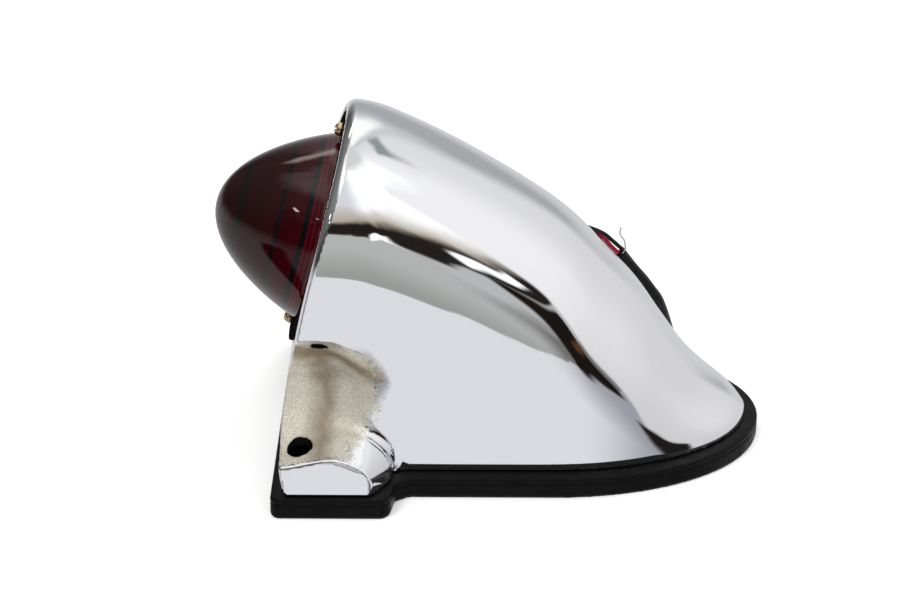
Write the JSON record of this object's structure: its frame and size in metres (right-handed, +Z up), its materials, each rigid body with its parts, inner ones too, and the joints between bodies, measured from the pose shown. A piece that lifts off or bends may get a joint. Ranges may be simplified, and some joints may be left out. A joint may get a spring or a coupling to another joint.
{
  "type": "motorcycle tail light",
  "caption": "Chrome boat-tail motorcycle tail light with a ruby bullet lens, a twin-contact bayonet bulb and a short wired pigtail, standing on a rubber base pad.",
  "frame": {"origin": "centre of the overall box at the height of the base pad's underside, measured without the pigtail", "axes": "+Y towards the nose of the housing (forwards on the motorcycle), -Y the way the lens points, +Z up, +X to the housing's side that carries no pigtail"},
  "size_m": [0.1445, 0.2006, 0.129],
  "materials": {
    "chrome": "bright chrome plate on a die casting, rough nickel-coloured plate inside the ear pockets",
    "pad_rubber": "matt black moulded rubber",
    "seal_rubber": "soft black rubber",
    "ruby": "deep ruby, polished outside",
    "black_steel": "black paint, satin",
    "zinc_steel": "bright zinc plate",
    "spring_steel": "drawn spring wire",
    "nickel": "nickel plate",
    "brass": "plain brass, slightly dull",
    "solder": "dull solder",
    "clear_glass": "clear blown glass",
    "fibre": "brown insulating fibre",
    "tungsten": "fine coiled wire",
    "cable_jacket": "black vinyl jacket",
    "red_insulation": "red vinyl insulation",
    "black_insulation": "black vinyl insulation",
    "tinned_copper": "tinned strand"
  },
  "bodies": {
    "housing": {"housing": "chrome", "base_pad": "pad_rubber", "mounting_plate": "zinc_steel", "plate_screw_left": "zinc_steel", "plate_screw_right": "zinc_steel", "holder_bracket": "zinc_steel", "bracket_rivet_left": "zinc_steel", "bracket_rivet_right": "zinc_steel", "holder_shell": "nickel", "contact_spring": "spring_steel", "holder_lead_stop": "red_insulation", "holder_lead_tail": "black_insulation", "inner_cable": "cable_jacket", "cable": "cable_jacket", "lead_red": "red_insulation", "lead_black": "black_insulation", "drain_strand": "tinned_copper"},
    "lens": {"lens": "ruby", "lens_retainer": "black_steel", "lens_seal": "seal_rubber"},
    "lens_screw_upper": {"lens_screw_upper": "brass"},
    "lens_screw_lower": {"lens_screw_lower": "brass"},
    "contact_carrier": {"contact_carrier": "fibre", "contact_stop": "brass", "contact_tail": "brass"},
    "bulb": {"bulb_base": "brass", "bulb_tip_stop": "solder", "bulb_tip_tail": "solder", "bulb_glass": "clear_glass", "bulb_stem": "clear_glass", "filament_stop": "tungsten", "filament_tail": "tungsten"}
  },
  "joints": [
    {"name": "lens_pull", "type": "slide", "parent": "housing", "child": "lens", "axis": [0, -0.9659, 0.2588], "range_m": [0, 0.045]},
    {"name": "upper_screw_out", "type": "slide", "parent": "lens", "child": "lens_screw_upper", "axis": [0, -0.9659, 0.2588], "range_m": [0, 0.014]},
    {"name": "lower_screw_out", "type": "slide", "parent": "lens", "child": "lens_screw_lower", "axis": [0, -0.9659, 0.2588], "range_m": [0, 0.014]},
    {"name": "bulb_push", "type": "slide", "parent": "housing", "child": "contact_carrier", "axis": [0, 0.9659, -0.2588], "range_m": [0, 0.0025], "stiffness_N_per_m": 1500, "springref_m": -0.004, "deforming": ["contact_spring"]},
    {"name": "bulb_twist", "type": "hinge", "parent": "contact_carrier", "child": "bulb", "pos_m": [0, -0.0642, 0.083], "axis": [0, -0.9659, 0.2588], "range_deg": [0, 20]}
  ]
}
